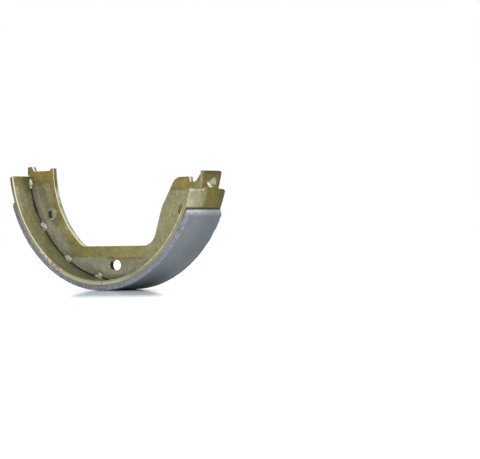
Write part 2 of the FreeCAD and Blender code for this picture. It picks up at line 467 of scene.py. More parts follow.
def makeRimMaterial():
    material, tree, shader, values = newMaterial("platedRimSteel")
    angle, width, radius = values["angle"], values["width"], values["radius"]
    where, flat = values["where"], values["unrolled"]
    outside = band(tree, radius, 78.4, 90, 0.2)
    inside = band(tree, radius, 60, 76.75, 0.1)
    values["fromWeb"] = calc(tree, "ABSOLUTE", width)

    # inside of the strip, burnt round the welds; painted light and shade make it lighter towards
    # the top and the front edge, and darker in the middle, beside the web and under the first weld
    base = paint(
        tree, values, (137, 133, 90),
        ((150, 146, 102), 1, ("patchy", 90, 2.4)),
        # painted shade, darker towards the bottom, and painted light, lighter towards the top and
        # the front edge
        ((92, 89, 62), 0.9, ("angle", -30, 40, 28, 8, 60)),
        ((150, 148, 118), 0.55, ("angle", -80, -64, 7, 5, 80)),
        ((160, 156, 122), 0.45, ("width", -20, -11.5, 3.5, 2, 200), ("angle", -90, -40, 14)),
        ((76, 72, 38), 0.4, ("patchy", 130, 5.0, 3, 0.3), ("angle", -50, 30, 14, 8, 80)),
        ((126, 112, 86), 0.35, ("angle", -40, -26, 6, 6, 120)),
        # painted shade beside the web and under the first weld
        ((110, 108, 90), 0.4, ("fromWeb", 0, 5.4, 4.4, 2.0, 260)),
        ((94, 90, 62), 0.7, ("angle", -79.4, -74, 2, 3, 120), ("fromWeb", 0, 7, 3, 2, 200)),
        # painted light near the front edge at the top
        ((186, 183, 152), 0.6, ("angle", -80, -66, 3, 3, 120), ("width", -20, -12, 3, 2, 200)),
        ((124, 100, 62), 0.35, ("angle", -79.6, -77.4, 1.2, 1.4, 300)),
        ((140, 127, 62), 0.85, ("angle", -90, -79.4, 0.8, 1.4, 260)),
        # painted shade beside the web at the plain end
        ((98, 92, 64), 0.85, ("angle", -90, -78.4, 1.0, 1.4, 260),
         ("fromWeb", 0, 7.2, 1.6, 1.2, 260)),
    )

    # outside: pale at the front, olive and brown towards the back, in streaks along the strip
    streak = patches(tree, flat, 420, 3.4, 3, 0.5, (0.12, 1, 1))
    lean = times(tree, minus(tree, angle, 69.0), 0.28)
    values["slant"] = calc(tree, "ADD", width, calc(tree, "MAXIMUM", lean, -1.4))
    tongue = allOf(tree, values, ("angle", 73.8, 90, 1.2, 1.4, 260),
                   ("width", -5.0, 20, 0.8, 0.8, 260))
    outer = paint(
        tree, values, (85, 79, 28),
        ((94, 88, 38), 1, streak),
        ((110, 106, 68), 0.9, ("slant", -20, -1.8, 5.5, 1.6, 300)),
        ((132, 130, 100), 0.95, ("slant", -20, -5.0, 5.5, 1.6, 300)),
        ((157, 155, 124), 0.9, ("slant", -20, -10.5, 4.0, 1.6, 300)),
        ((178, 176, 146), 0.25, streak, ("width", -20, -1, 2)),
        ((70, 66, 20), 0.85, ("width", 10.5, 15.0, 2.0, 1.6, 300)),
        ((84, 84, 72), 0.8, ("width", 14.9, 20, 0.5, 0.8, 300)),
        # painted shade below the shoulder at the front
        ((118, 115, 82), 0.4, ("angle", 68.5, 72.7, 2.0, 0.6, 300), ("width", -20, 0, 2)),
        # a painted highlight along the shoulder's edge at the front
        ((222, 219, 194), 0.8, ("angle", 72.75, 73.6, 0.5, 0.4, 400), ("width", -20, -4, 1.5),
         ("patchy", 420, 6, 3, 0.4)),
        # darker along the end of the lining
        ((70, 68, 54), 0.85, ("angle", 60, 65.3, 0.45, 0.5, 400)),
        ((92, 80, 24), 0.95, tongue),
        ((100, 94, 32), 0.85, ("angle", 74.4, 90, 0.8), ("width", -6.5, -4.9, 0.35, 0.5, 300)),
        ((72, 62, 22), 0.5, tongue, ("patchy", 260, 5, 3, 0.35)),
        ((66, 54, 26), 0.6, tongue, ("angle", 79.8, 90, 0.9, 0.8, 260)),
        ((66, 58, 34), 0.75, tongue, ("width", 7.4, 20, 1.2, 1.0, 260)),
        ((84, 70, 36), 0.9, ("angle", -90, -79.4, 1.4, 1.8, 200)),
    )
    base = addPlatingGrain(tree, where, over(tree, base, outside, outer))

    # the electrode's marks: bare metal, with a painted shadow in a crescent at the upper left of
    # the pit and a painted highlight in a crescent at its lower left
    bare = None
    for weld in (weldAngles[0], weldAngles[-1]):
        up = times(tree, minus(tree, angle, weld), math.radians(drum["rimOuter"]))
        across = minus(tree, width, rim["markOffset"])
        values["fromMark"] = reach(tree, calc(tree, "DIVIDE", up, rim["markHeight"] / 2),
                                   calc(tree, "DIVIDE", across, rim["markWidth"] / 2))
        values["leftUp"] = total(tree, up, (across, -0.9))
        values["leftDown"] = total(tree, up, (across, 0.7))
        mark = paint(
            tree, values, (112, 113, 92),
            ((146, 148, 130), 1, ("patchy", 560, 4.0, 3)),
            ((48, 46, 40), 0.95, ("leftUp", 1.6, 12, 2.6, 1.4, 400)),
            ((244, 238, 192), 0.95, ("leftDown", -12, -2.3, 1.3, 1.2, 400)),
        )
        pit = allOf(tree, values, ("fromMark", -1, 0.93, 0.16, 0.2, 500), outside)
        base = paint(
            tree, values, base,
            ((96, 72, 26), 0.6, ("fromMark", 0.93, 1.3, 0.2, 0.3, 400), outside),
            (mark, 1, pit),
        )
        bare = pit if bare is None else calc(tree, "MAXIMUM", bare, pit)

    # cut edges of the strip, with a thin joint near the middle and bright chafed specks; painted
    # reflection and shade make them cream at the bottom and dark at the top of the plain end, and
    # painted highlights run along their corners
    edge = paint(
        tree, values, (124, 121, 102),
        ((136, 133, 113), 1, patches(tree, flat, 380, 3.0, 3, 0.5, (0.3, 1, 1))),
        # painted reflection, cream at the bottom
        ((168, 166, 138), 0.9, ("angle", -26, 24, 5, 6, 90)),
        ((150, 124, 106), 0.9, ("angle", -38, -25, 4, 4, 120), ("patchy", 420, 5, 3, 0.6)),
        ((134, 131, 104), 0.9, ("angle", 17, 64, 8, 6, 90)),
        ((135, 130, 98), 0.9, ("angle", 62, 90, 2, 2, 90)),
        # painted shade at the top of the plain end
        ((108, 104, 90), 0.6, ("angle", -90, -64, 4), ("radius", 77.6, 80, 0.5)),
        ((72, 68, 58), 0.85, ("angle", -90, -75.5, 3), ("radius", 77.6, 80, 0.5)),
        # painted highlights along the inner corner
        ((192, 187, 158), 0.95, ("radius", 70, 77.2, 0.3, 0.3, 300), ("angle", -90, -63, 4)),
        ((148, 144, 112), 0.9, ("radius", 70, 77.2, 0.3, 0.3, 300), ("angle", -63, -37, 4)),
        ((214, 207, 162), 0.85, ("radius", 76.9, 77.55, 0.3, 0.6, 200), ("angle", 26, 64, 6),
         ("patchy", 260, 4, 3, 0.72)),
        ((132, 124, 88), 0.7, ("radius", 70, 77.3, 0.5, 0.5, 300), ("angle", -35, 30, 3)),
        ((52, 46, 30), 0.85, ("angle", 1.1, 1.4, 0.12, 0.3, 900), ("width", -20, -15.5, 0.3)),
        ((220, 213, 190), 0.8, ("angle", -41, -24, 3, 3, 120), ("patchy", 460, 7, 3, 0.1)),
    )
    base = paint(
        tree, values, base,
        (edge, 1, ("fromWeb", 15.5, 20, 0.3)),
        # painted highlights along the front corners
        ((222, 216, 184), 0.8, ("radius", 76.5, 76.98, 0.1, 0.1, 500),
         ("width", -20, -15.3, 0.25), ("angle", -90, -34, 6)),
        ((214, 209, 176), 0.75, ("radius", 78.95, 80, 0.15), ("width", -20, -15.2, 0.3),
         ("angle", 64.5, 73.5, 0.5), ("patchy", 420, 6, 3, 0.1)),
    )

    # painted shade in the seam under the web, widest half way between two welds
    heat = useGroup(tree, weldHeat, {"Angle": angle, "Spread": 11.3})[0]
    wide = band(tree, angle, -71.0, -63.5, 3.0)
    seam = total(tree, 1.9, (heat, -0.3), (wide, 0.9))
    values["fromSeam"] = minus(tree, values["fromWeb"], seam)
    seamShade = allOf(tree, values, ("fromSeam", -9, 0, 0.5, 2.0, 220), inside)
    plug(tree, shader, {
        "Base Color": over(tree, base, seamShade, (34, 30, 18), 0.9),
        "Roughness": total(tree, 0.34, (patches(tree, where, 500, 2.5), 0.16), (bare, -0.14),
                           (seamShade, 0.5)),
        "Metallic": total(tree, 0.55, (bare, 0.4), (seamShade, -0.45)),
    })
    addBump(tree, shader, [
        (patches(tree, flat, 900, 2.0, 4, 0.5, (0.35, 1, 1)), 0.3, 0.06),
        (patches(tree, where, 170, 1.6, 2), 0.35, 0.15),
        (patches(tree, where, *speck), -0.4, 0.08),
    ])
    return material


finishPiece("rimStrip", makeRimMesh(), makeRimMaterial(), "rim")
print("rim made")


# Web

web = {
    "thickness": 3.2,
    "edgeRadius": 0.3,
    "middleDepth": 21.0,
    "armDepth": 22.3,
    "armBend": 16.0,
    "armFillet": 6.0,
    "hornOuterRise": 5.9,
    "hornInnerRise": 4.4,
    "hornFloorRise": 2.9,
    "hornOuterWidth": 3.4,
    "hornOverhang": 1.5,
    "hornOverhangGap": 0.4,
    "hornInnerWidth": 2.0,
    "hornInnerSlope": 1.3,
    "hornCorner": 1.1,
    "hornLipCorner": 0.8,
    "hornShelfCorner": 0.5,
    "hornFloorFillet": 2.2,
    "lugOuterDrop": 1.6,
    "lugInnerDrop": 3.2,
    "lugFloorDrop": 6.3,
    "lugOuterWidth": 6.4,
    "lugOuterSlope": 4.3,
    "lugNotchWidth": 4.9,
    "lugInnerWidth": 11.3,
    "lugCorner": 0.9,
    "lugOuterCorner": 1.2,
    "lugInnerFillet": 7.0,
    "stepLowAngle": 29.7,
    "stepLowFillet": 10.0,
    "stepHighAngle": 50.5,
    "stepHighDepth": 25.2,
    "stepHighFillet": 9.0,
    "pinHoleLength": 9.0,
    "pinHoleWidth": 6.2,
    "pinHoleInset": 9.25,
    "springHole": 7.5,
    "springPlain": (-57.8, 11.7),
    "springTongue": (58.7, 10.0),
    "outerSteps": 190,
    "innerSteps": 60,
    "rubbedSpot": (-41.5, -44.0),  # from the drum's axis
    "burntSpot": (-56.6, -9.0),
}

# centre of the bend in the arm with the horns, from the drum's axis
bendX = (web["armDepth"] - drum["webOuter"]) + (drum["rimInner"] - web["armBend"])
bendZ = web["hornInnerRise"] - drum["rimInner"] * math.cos(math.radians(rim["plainEnd"]))


def webHoles():
    # name, centre, width and length of each hole
    inner = drum["rimInner"]
    holes = [("pinHole", place(0, web["pinHoleInset"] - inner), web["pinHoleWidth"],
              web["pinHoleLength"])]
    for name in ("springPlain", "springTongue"):
        angle, inset = web[name]
        holes.append((name, polar(inner - inset, angle), web["springHole"], web["springHole"]))
    return holes


def spinArc(bm, start, centre, turn, count):
    # a vertex swept into an arc of edges; returns the vertices in order
    first = bm.verts.new(start)
    before = set(bm.verts)
    bmesh.ops.spin(bm, geom=[first], cent=centre, axis=Vector((0, 1, 0)), angle=turn,
                   steps=count, use_duplicate=False)
    made = [v for v in bm.verts if v not in before]
    ordered, seen = [first], {first}
    while len(ordered) <= len(made):
        following = [e.other_vert(ordered[-1]) for e in ordered[-1].link_edges]
        following = [v for v in following if v not in seen]
        ordered.append(following[0])
        seen.add(following[0])
    return ordered


def makeWebOutline():
    # the sharp outline at the front face, and the corners to round
    outer, inner = drum["webOuter"], drum["rimInner"]
    rimTop = -inner * math.cos(math.radians(rim["plainEnd"]))
    tongueTop = -inner * math.cos(math.radians(rim["tongueEnd"]))
    front = -web["thickness"] / 2

    def rimSide(z):
        return math.sqrt(outer ** 2 - z ** 2)

    hornTop = rimTop + web["hornOuterRise"]
    hornFloor = rimTop + web["hornFloorRise"]
    shelf = rimTop + web["hornOverhangGap"]
    arm = web["armDepth"] - outer
    chord = web["middleDepth"] - inner
    lugTop = tongueTop - web["lugInnerDrop"]
    lugFloor = tongueTop - web["lugFloorDrop"]
    outerTop = tongueTop - web["lugOuterDrop"]
    lugSide = rimSide(lugFloor) - web["lugOuterWidth"]
    notchIn = lugSide - web["lugNotchWidth"]
    hornSide = -rimSide(shelf) - web["hornOverhang"]
    hornIn = -outer + web["hornOuterWidth"]
    lipOut = arm - web["hornInnerWidth"]
    stepHigh = math.radians(web["stepHighAngle"])
    stepHighRadius = inner - web["stepHighDepth"]

    bm = bmesh.new()
    around = math.asin(rimSide(shelf) / outer) + math.asin(rimSide(outerTop) / outer)
    outerArc = spinArc(bm, place(-rimSide(shelf), shelf, front), axisPoint, -around,
                       web["outerSteps"])
    sweep = math.asin((bendZ - chord) / (inner - web["armBend"]))
    innerArc = spinArc(bm, place(arm, bendZ, front), place(bendX, bendZ), -sweep,
                       web["innerSteps"])

    def corner(x, z):
        return bm.verts.new(place(x, z, front))

    rightWay = [
        (lugSide + web["lugOuterSlope"], outerTop, web["lugOuterCorner"]),
        (lugSide, lugFloor, web["lugCorner"]),
        (notchIn, lugFloor, web["lugCorner"]),
        (notchIn, lugTop, web["lugCorner"]),
        (notchIn - web["lugInnerWidth"], lugTop, web["lugInnerFillet"]),
        (stepHighRadius * math.sin(stepHigh), -stepHighRadius * math.cos(stepHigh),
         web["stepHighFillet"]),
        (-chord * math.tan(math.radians(web["stepLowAngle"])), chord, web["stepLowFillet"]),
    ]
    leftWay = [
        (lipOut, bendZ, web["hornLipCorner"]),
        (lipOut - web["hornInnerSlope"], hornFloor, web["hornLipCorner"]),
        (hornIn, hornFloor, web["hornFloorFillet"]),
        (hornIn, hornTop, web["hornCorner"]),
        (hornSide, hornTop, web["hornCorner"]),
        (hornSide, shelf, web["hornShelfCorner"]),
    ]
    right = [(corner(x, z), radius) for x, z, radius in rightWay]
    left = [(corner(x, z), radius) for x, z, radius in leftWay]
    bm.faces.new(outerArc + [v for v, r in right] + innerArc[::-1] + [v for v, r in left])
    ends = [(innerArc[0], web["hornLipCorner"]), (innerArc[-1], web["armFillet"])]
    return bm, right + left + ends


def clearArc(bm, v, back):
    # thins out a finely divided arc beside a corner, so that its fillet has room
    for edge in list(v.link_edges):
        if not edge.is_valid:
            continue
        here, step, doomed, gone = v, edge, [], 0.0
        while True:
            there = step.other_vert(here)
            gone += step.calc_length() / mm
            if gone > back * 1.02 or len(there.link_edges) != 2:
                break
            doomed.append(there)
            step = [e for e in there.link_edges if e is not step][0]
            here = there
        if doomed:
            bmesh.ops.dissolve_verts(bm, verts=doomed)


def roundCorners(bm, rounded):
    # each corner is cut back by the tangent length of its radius
    for v, radius in rounded:
        a, b = ((e.other_vert(v).co - v.co) for e in v.link_edges)
        back = radius / math.tan(a.angle(b) / 2)
        if back > min(a.length, b.length) / mm * 0.98:
            clearArc(bm, v, back)
        roundOff(bm, [v], back, "VERTICES", 8)


def holeCutter(name, centre, width, length):
    # a pin across the shoe, drawn out sideways into an oval where it is longer than wide
    bm = bmesh.new()
    bmesh.ops.create_cone(bm, cap_ends=True, segments=64, radius1=width / 2 * mm,
                          radius2=width / 2 * mm, depth=12 * mm)
    bmesh.ops.rotate(bm, verts=bm.verts, cent=(0, 0, 0),
                     matrix=Matrix.Rotation(math.pi / 2, 3, "X"))
    for v in bm.verts:
        if abs(v.co.x) > 1e-6:
            v.co.x += math.copysign((length - width) / 2 * mm, v.co.x)
    bmesh.ops.translate(bm, verts=bm.verts, vec=centre)
    return addObject(name, bm)


def makeWebMesh():
    bm, rounded = makeWebOutline()
    roundCorners(bm, rounded)
    extrudeAll(bm, (0, web["thickness"] * mm, 0))
    blank = addObject("webBlank", bm)
    cutters = [holeCutter(*hole) for hole in webHoles()]
    for cutter in cutters:
        cut = blank.modifiers.new(cutter.name, "BOOLEAN")
        cut.operation = "DIFFERENCE"
        cut.object = cutter
        cut.solver = "EXACT"
    soften = blank.modifiers.new("softEdges", "BEVEL")
    soften.width = web["edgeRadius"] * mm
    soften.segments = 3
    soften.limit_method = "ANGLE"
    soften.angle_limit = math.radians(50)
    bpy.context.view_layer.update()
    ready = blank.evaluated_get(bpy.context.evaluated_depsgraph_get())
    shaped = bpy.data.meshes.new_from_object(ready)
    for thing in cutters + [blank]:
        bpy.data.objects.remove(thing)
    bm = bmesh.new()
    bm.from_mesh(shaped)
    return bm


def makeWebMaterial():
    material, tree, shader, values = newMaterial("platedWebSteel")
    angle, along, height = values["angle"], values["along"], values["height"]
    where = values["where"]
    values["fromMiddle"] = calc(tree, "ABSOLUTE", values["width"])
    onFace = allOf(tree, values, ("fromMiddle", 1.36, 3, 0.1))
    onEdge = minus(tree, 1.0, onFace)
    rolled = allOf(tree, values, ("fromMiddle", 1.32, 1.594, 0.008))

    def awayFrom(x, z):
        return reach(tree, minus(tree, along, x), minus(tree, height, z))

    values["fromBend"] = awayFrom(bendX, bendZ)
    values["fromRub"] = awayFrom(*web["rubbedSpot"])
    values["fromBurn"] = awayFrom(*web["burntSpot"])
    lug = allOf(tree, values, ("height", -21.4, 5, 0.9, 2.0, 200), ("along", 40, 66.8, 2))
    middle = allOf(tree, values, ("height", -62.4, -50, 1.2, 2.4, 130),
                   ("along", -40, 26, 6, 6, 80))
    base = paint(
        tree, values, (122, 117, 84),
        ((134, 130, 98), 1, ("patchy", 70, 2.6)),
        # greyer beside the rim, and lighter there by painted light; greyer in the arm with the lugs
        # and below the middle
        ((170, 169, 156), 0.85, ("radius", 67.5, 78, 4.6, 3.0, 120), ("angle", -74, 16, 12)),
        ((144, 141, 104), 0.7, ("along", 6, 90, 22, 8, 50)),
        ((126, 126, 102), 0.7, ("height", -90, -62.5, 2.0, 2.0, 120), ("along", -26, 40, 10)),
        ((110, 105, 78), 0.75, ("radius", 64.5, 70.0, 1.8, 1.5, 120), ("height", -40, -12, 5),
         ("along", -90, -40, 4)),
        # yellow where the welding and hardening heat has run: the inner edge of the arm
        ((124, 114, 62), 0.8, ("fromBend", 50, 64.8, 2.4, 3.4, 120), ("along", -90, -24, 4)),
        ((178, 172, 146), 0.5, ("fromRub", -1, 2.5, 3.5, 2.0, 120)),
        ((130, 108, 58), 0.35, ("fromBend", 64.4, 65.4, 1.0, 3.0, 120), ("along", -90, -30, 4)),
        # the horns
        ((128, 112, 54), 0.85, ("height", -14.2, 5, 2.4, 3.0, 150), ("along", -90, -40, 1)),
        ((110, 104, 40), 0.5, ("height", -15.4, -13.2, 1.2, 2.0, 220),
         ("along", -73, -56, 3, 3, 200)),
        ((156, 116, 44), 0.55, ("fromBurn", -1, 1.3, 0.9, 1.2, 500)),
        # the lugs
        ((122, 111, 50), 0.9, lug),
        ((145, 132, 70), 0.5, lug, ("patchy", 330, 4.0, 3)),
        ((104, 88, 44), 0.6, lug, ("height", -15.6, 5, 0.5, 0.8, 300)),
        ((104, 94, 50), 0.6, ("height", -22.6, -21.1, 0.8, 1.8, 200), ("along", 40, 66, 2)),
        ((130, 123, 64), 0.75, ("height", -18.5, 5, 1.2, 1.5, 200), ("along", 64.6, 90, 0.9)),
        # the middle
        ((124, 117, 66), 0.8, middle),
        ((146, 138, 86), 0.6, middle, ("along", 0, 40, 12)),
        ((104, 84, 44), 0.6, ("height", -63.6, -62.1, 0.9, 2.4, 130),
         ("along", -8, 24, 4, 4, 80)),
    )

    # heat round each weld, and painted shade along the seam beside the rim
    heat = useGroup(tree, weldHeat, {"Angle": angle, "Spread": 4.2})[0]
    base = paint(
        tree, values, addPlatingGrain(tree, where, base),
        ((92, 82, 54), 0.5, heat, ("radius", 72.0, 80, 2.0, 1.6, 300)),
        ((58, 54, 38), 0.75, ("radius", 75.45, 80, 0.35, 0.9, 420)),
    )

    # punched edges: a bright band next to the front face, torn metal behind it
    torn = patches(tree, where, 260, 5.0, 4, 0.45, (1, 3.5, 1))
    hornNotch = allOf(tree, values, ("along", -75, -70, 0.6), ("height", -9, 5, 0.6))
    lugNotch = allOf(tree, values, ("along", 61, 68, 0.4), ("height", -19, 5, 0.4))
    walls = calc(tree, "MAXIMUM", hornNotch, lugNotch)
    punched = paint(
        tree, values, (186, 184, 162),
        ((122, 120, 104), 1, torn),
        ((214, 210, 186), 0.8, ("width", -2, -0.9, 0.5, 0.6, 300)),
        ((100, 84, 48), 0.9, ("height", -19, 5, 5, 4, 150), ("along", -90, -50, 1)),
        # the walls of the notches: sheared bright at the front, torn dark at the back
        ((98, 92, 70), 0.9, walls),
        ((236, 232, 214), 0.95, walls, ("width", -2, 0.1, 0.5, 0.8, 400)),
        # the outer edge in the seam: painted shade
        ((48, 44, 32), 0.9, ("radius", 75.2, 80, 0.3)),
    )

    # walls of the holes: painted shade, with painted light in patches at the top and a painted
    # highlight on the lip at the bottom
    dark = None
    for name, centre, _, length in webHoles():
        x, z = centre.x / mm, centre.z / mm - drum["radius"]
        values["above"] = minus(tree, height, z)
        wall = band(tree, awayFrom(x, z), -1, length / 2 + 0.2, 0.1)
        punched = paint(
            tree, values, punched,
            ((34, 25, 8), 0.97, wall),
            ((186, 188, 174), 0.95, wall, ("above", 2.0, 9, 1.2, 1.0, 400),
             ("patchy", 300, 5, 3, 0.9)),
            ((214, 214, 192), 0.8, wall, ("above", -9, -2.9, 0.5, 0.8, 400)),
        )
        if name == "springTongue":  # paler, and brown at the bottom
            pale = paint(tree, values, (92, 82, 46), ((204, 190, 142), 1, ("above", -0.6, 9, 1.6)))
            punched = over(tree, punched, wall, pale, 0.95)
        shadow = times(tree, wall, onEdge)
        dark = shadow if dark is None else calc(tree, "MAXIMUM", dark, shadow)
    base = paint(
        tree, values, base,
        (punched, 1, onEdge),
        # painted highlights along the rounded edges
        ((236, 230, 182), 0.9, rolled, ("fromBend", 50, 61.2, 0.2), ("along", -90, -26, 3)),
        ((176, 172, 122), 0.7, rolled, ("along", 30, 62, 2), ("radius", 30, 62, 1)),
    )
    plug(tree, shader, {
        "Base Color": base,
        "Roughness": total(tree, 0.36, (patches(tree, where, 400, 2.5), 0.16), (dark, 0.45)),
        "Metallic": total(tree, 0.55, (dark, -0.35)),
    })
    addBump(tree, shader, [
        (patches(tree, where, 1100, 2.0, 4), 0.28, 0.05),
        (patches(tree, where, 150, 1.6, 2), 0.3, 0.15),
        (times(tree, torn, onEdge), 0.5, 0.12),
        (patches(tree, where, *speck), -0.4, 0.08),
    ])
    return material


finishPiece("webPlate", makeWebMesh(), makeWebMaterial(), "web", 30)
print("web made")


# Lining

lining = {
    "width": 30.0,
    "thickness": 3.2,
    "plainEnd": -70.3,
    "tongueEnd": 64.4,
    "plainLand": 1.7,
    "plainBevel": 1.9,
    "tongueLand": 1.0,
    "tongueBevel": 2.8,
    "edgeRadius": 0.35,
    "pitch": 0.8,
    "crossCuts": (-14.3, -13.0, -10.0, -5.0, 0.0, 5.0, 10.0, 13.0, 14.3),
    "chip": 0.35,
    "chipReach": 0.5,
    "chipFrom": 1.2,  # height above the rim
    "chipScale": 420,
    "chipStart": 0.12,
}


def makeLiningMesh():
    bm = bmesh.new()
    start, end = arcAt(lining["plainEnd"]), arcAt(lining["tongueEnd"])
    grow = drum["rimOuter"] / drum["radius"]
    profile = [
        (start, 0),
        (start, lining["plainLand"]),
        (start + lining["plainBevel"] * grow, lining["thickness"]),
        (end - lining["tongueBevel"] * grow, lining["thickness"]),
        (end, lining["tongueLand"]),
        (end, 0),
    ]
    half = lining["width"] / 2
    bm.faces.new([bm.verts.new(Vector((x, -half, z)) * mm) for x, z in profile])
    extrudeAll(bm, (0, lining["width"] * mm, 0))
    bmesh.ops.recalc_face_normals(bm, faces=bm.faces)
    outer = [e for e in bm.edges if all(v.co.z > 0.5 * mm for v in e.verts)]
    roundOff(bm, outer, lining["edgeRadius"], "EDGES", 3)
    cutAcross(bm, 0, steps(start, end, lining["pitch"]))
    cutAcross(bm, 1, lining["crossCuts"])
    # the edges crumble a little
    for v in bm.verts:
        fromSide = half - abs(v.co.y) / mm
        if v.co.z > lining["chipFrom"] * mm and fromSide < lining["chipReach"]:
            lump = noise.noise(v.co * lining["chipScale"])
            bite = max(0.0, lump - lining["chipStart"]) * lining["chip"]
            v.co.z -= bite * mm
            v.co.y -= math.copysign(bite * mm, v.co.y)
    rollUp(bm)
    return bm


def makeLiningMaterial():
    material, tree, shader, values = newMaterial("frictionLining")
    where, flat = values["where"], values["unrolled"]
    values["fromCentre"] = calc(tree, "ABSOLUTE", values["width"])
    grain = patches(tree, where, 1300, 3.6, 4)

    def dots(place, scale, size):
        cells = addNode(tree, "TexVoronoi", {"Vector": place, "Scale": scale})
        return band(tree, cells.outputs["Distance"], -1, size, 0.05)

    flecks = dots(where, 820.0, 0.13)  # of fibre and metal in the friction mix
    pores = dots(flat, 560.0, 0.12)
    side = paint(
        tree, values, (112, 112, 114),
        ((146, 147, 152), 1, ("patchy", 420, 4.4, 3)),
        # painted light: lighter towards the tongue
        ((124, 128, 140), 0.6, ("angle", 20, 90, 12, 6, 80)),
        ((110, 108, 102), 0.5, ("angle", -90, -58, 6, 4, 80)),
        ((158, 163, 184), 0.6, ("angle", 10, 90, 12), ("patchy", 620, 7, 3, 0.2)),
    )
    bevel = allOf(tree, values, ("angle", 62.9, 70, 1.2, 0.7, 300), ("radius", 80.0, 84, 0.2))
    bevelTone = paint(tree, values, (174, 179, 182), ((142, 147, 151), 1, ("patchy", 380, 4.0, 3)))
    base = paint(
        tree, values, (104, 112, 115),
        ((114, 122, 125), 1, ("patchy", 55, 2.6)),
        ((126, 132, 138), 0.3, patches(tree, flat, 300, 3.0, 4, 0.5, (0.25, 1, 1))),
        ((92, 97, 100), 0.26, ("patchy", 520, 4.0, 3)),
        ((146, 151, 158), 0.26, grain),
        ((182, 186, 196), 0.5, flecks),
        ((62, 64, 66), 0.5, pores),
        # painted shade on the middle of the belly, where it nears the floor
        ((78, 82, 84), 0.5, ("angle", -24, 22, 7, 4, 80), ("fromCentre", -1, 8, 6, 3, 120)),
        (side, 0.9, ("fromCentre", 14.75, 20, 0.2)),
        # painted highlights along the outer edges
        ((176, 179, 198), 0.5, ("radius", 81.9, 90, 0.4, 0.9, 500),
         ("fromCentre", 14.4, 20, 0.6, 0.8, 500), ("patchy", 620, 6.0, 3, 0.3)),
        # the bevel by the tongue, and the face next to it
        (bevelTone, 0.95, bevel),
        ((184, 188, 190), 0.6, bevel, ("radius", 80.0, 81.2, 0.6, 0.6, 300)),
        # painted light low on the outer face and at its back, and painted shade at the back higher
        # up
        ((128, 137, 141), 0.5, ("angle", 12, 40, 9)),
        ((158, 166, 169), 0.5, ("width", 5, 20, 6), ("angle", 12, 30, 6)),
        ((84, 90, 93), 0.5, ("width", 0, 20, 12), ("angle", 40, 90, 9)),
        # a dark line along the end of the lining, next to the rim
        ((44, 45, 45), 0.9, ("radius", 79.0, 80.2, 0.3, 0.3, 400), ("angle", 63.9, 70, 0.3)),
    )
    plug(tree, shader, {"Base Color": base, "Roughness": total(tree, 0.72, (grain, 0.18))})
    addBump(tree, shader, [
        (grain, 0.5, 0.1),
        (patches(tree, where, 420, 3.0, 3), 0.4, 0.15),
        (pores, -0.6, 0.2),
    ])
    return material


finishPiece("frictionLining", makeLiningMesh(), makeLiningMaterial(), "lining")
print("lining made")


# Weld beads

bead = {
    "along": 2.6,
    "rise": 1.9,
    "reach": 2.7,
    "sink": 0.5,
    "seat": 0.15,
    "lump": 0.5,
    "coarse": (0.55, 1.9),  # amount and scale of the unevenness
    "fine": (0.25, 5),
    "lobes": 14,
    "lobeSize": (0.75, 1.35),
    "lobeRise": 2.6,
    "lobeStretch": (0.9, 1.5),
    "lobeHeight": (0.7, 1.1),
    "droplets": 7,
    "dropletSize": (0.16, 0.38),
    "dropletSide": (2.4, 2.95),
    "dropletRise": (0.8, 3.2),
    "dropletLump": 0.3,
    "widest": 3.28,
    "seed": 11,
}


def addLump(bm, centre, turn, size, detail, seed, rough):
    # a ball of metal, frozen uneven
    coarse, coarseScale = bead["coarse"]
    fine, fineScale = bead["fine"]
    for v in bmesh.ops.create_icosphere(bm, subdivisions=detail, radius=1.0)["verts"]:
        way = v.co.normalized()
        lump = 1 + rough * coarse * noise.noise(way * coarseScale + Vector((seed, 0, 0)))
        lump += rough * fine * noise.noise(way * fineScale + Vector((0, seed, 0)))
        ball = Vector((way.x * size[0], way.y * size[1], way.z * size[2]))
        v.co = centre + turn @ (ball * lump * mm)


def makeBeadMesh():
    random.seed(bead["seed"])
    bm = bmesh.new()
    face = web["thickness"] / 2
    inner = drum["rimInner"]
    for number, angle in enumerate(weldAngles):
        turn = Matrix.Rotation(-math.radians(angle), 3, "Y")
        body = (bead["along"], bead["reach"], bead["rise"] + bead["sink"])
        addLump(bm, polar(inner + bead["sink"], angle), turn, body, 4, number * 7.3, bead["lump"])
        for lobe in range(bead["lobes"]):
            size = random.uniform(*bead["lobeSize"])
            side = -1 if lobe % 2 else 1
            rise = random.uniform(0.0, bead["lobeRise"])
            spread = 2.0 - rise * 0.3  # narrower further up
            edge = max(face, bead["widest"] - size * 0.8 - rise * 0.45)
            spot = polar(inner - rise, angle + random.uniform(-spread, spread),
                         side * random.uniform(face - 0.3, edge))
            stretch = random.uniform(*bead["lobeStretch"])
            shape = (size * stretch, size, size * random.uniform(*bead["lobeHeight"]))
            addLump(bm, spot, turn, shape, 3, number * 3.1 + lobe * 5.7, bead["lump"])
        for drop in range(bead["droplets"]):
            size = random.uniform(*bead["dropletSize"])
            side = random.choice((-1, 1))
            if drop % 2:  # on the rim
                spot = polar(inner, angle + random.uniform(-3.8, 3.8),
                             side * random.uniform(*bead["dropletSide"]))
            else:  # on the web
                spot = polar(inner - random.uniform(*bead["dropletRise"]),
                             angle + random.uniform(-3.2, 3.2), side * face)
            addLump(bm, spot, turn, (size,) * 3, 2, number + drop * 1.7, bead["dropletLump"])
    # nothing lies deeper in the rim than it takes to seat it, or wider than the welds really are
    for v in bm.verts:
        away = v.co - axisPoint
        out = math.hypot(away.x, away.z)
        most = (inner + bead["seat"]) * mm
        if out > most:
            v.co = axisPoint + Vector((away.x * most / out, away.y, away.z * most / out))
        v.co.y = max(-bead["widest"] * mm, min(bead["widest"] * mm, v.co.y))
    return bm


